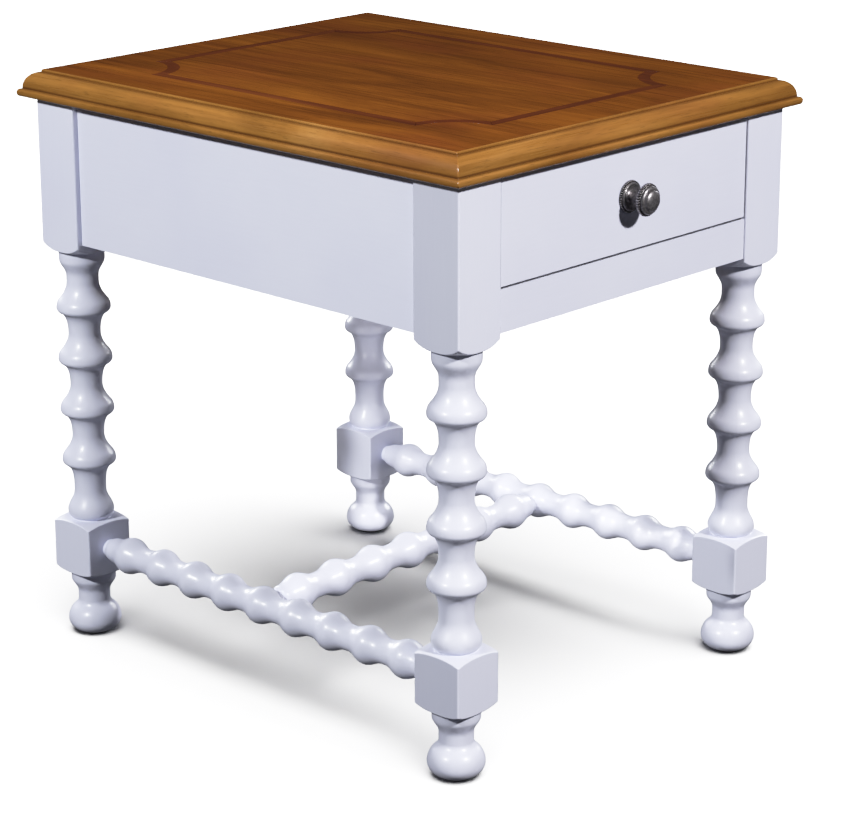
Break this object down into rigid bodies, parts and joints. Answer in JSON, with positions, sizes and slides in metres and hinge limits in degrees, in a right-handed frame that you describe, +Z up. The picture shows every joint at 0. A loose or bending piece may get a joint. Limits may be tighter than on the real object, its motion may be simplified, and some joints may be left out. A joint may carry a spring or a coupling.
{
  "type": "side table with drawer",
  "caption": "Rectangular wooden side table with an inlaid stained top, painted bobbin-turned legs and H stretcher, and a front drawer with a round metal knob.",
  "frame": {"origin": "on the floor, under the centre of the whole object's bounding box, knob included", "axes": "+Z up, -Y out of the drawer front, +X to the right of someone facing the drawer"},
  "size_m": [0.509, 0.6268, 0.61],
  "materials": {
    "white_paint": "satin white paint with a faint lavender cast",
    "top_wood": "honey-brown stain under satin lacquer",
    "inlay_wood": "dark red-brown banding under the same lacquer",
    "raw_wood": "plain sanded hardwood",
    "pewter": "aged pewter, burnished on the high points",
    "steel": "zinc-plated fastener",
    "glide": "near-black moulded floor glide"
  },
  "bodies": {
    "table": {"top_board": "top_wood", "inlay_left": "inlay_wood", "inlay_right": "inlay_wood", "inlay_front": "inlay_wood", "inlay_back": "inlay_wood", "inlay_corner_front_left": "inlay_wood", "inlay_corner_front_right": "inlay_wood", "inlay_corner_back_left": "inlay_wood", "inlay_corner_back_right": "inlay_wood", "leg_front_left": "white_paint", "leg_front_right": "white_paint", "leg_back_left": "white_paint", "leg_back_right": "white_paint", "glide_front_left": "glide", "glide_front_right": "glide", "glide_back_left": "glide", "glide_back_right": "glide", "apron_left": "white_paint", "apron_right": "white_paint", "apron_back": "white_paint", "rail_front": "white_paint", "corner_block_front_left": "raw_wood", "corner_block_front_right": "raw_wood", "corner_block_back_left": "raw_wood", "corner_block_back_right": "raw_wood", "corner_bolt_front_left": "steel", "corner_bolt_front_right": "steel", "corner_bolt_back_left": "steel", "corner_bolt_back_right": "steel", "drawer_runner_left": "raw_wood", "drawer_guide_left": "raw_wood", "drawer_kicker_left": "raw_wood", "drawer_stop_left": "raw_wood", "drawer_runner_right": "raw_wood", "drawer_guide_right": "raw_wood", "drawer_kicker_right": "raw_wood", "drawer_stop_right": "raw_wood", "runner_screw_front_left": "steel", "runner_screw_front_right": "steel", "runner_screw_back_left": "steel", "runner_screw_back_right": "steel", "top_screw_front_left": "steel", "top_screw_front_right": "steel", "top_screw_back_left": "steel", "top_screw_back_right": "steel", "stretcher_left": "white_paint", "stretcher_right": "white_paint", "stretcher_cross": "white_paint"},
    "drawer": {"drawer_front": "white_paint", "drawer_side_left": "raw_wood", "drawer_side_right": "raw_wood", "drawer_back": "raw_wood", "drawer_bottom": "raw_wood", "knob_rosette": "pewter", "knob": "pewter", "knob_screw": "steel"}
  },
  "joints": [
    {"name": "drawer_slide", "type": "slide", "parent": "table", "child": "drawer", "axis": [0, -1, 0], "range_m": [0, 0.36]}
  ]
}
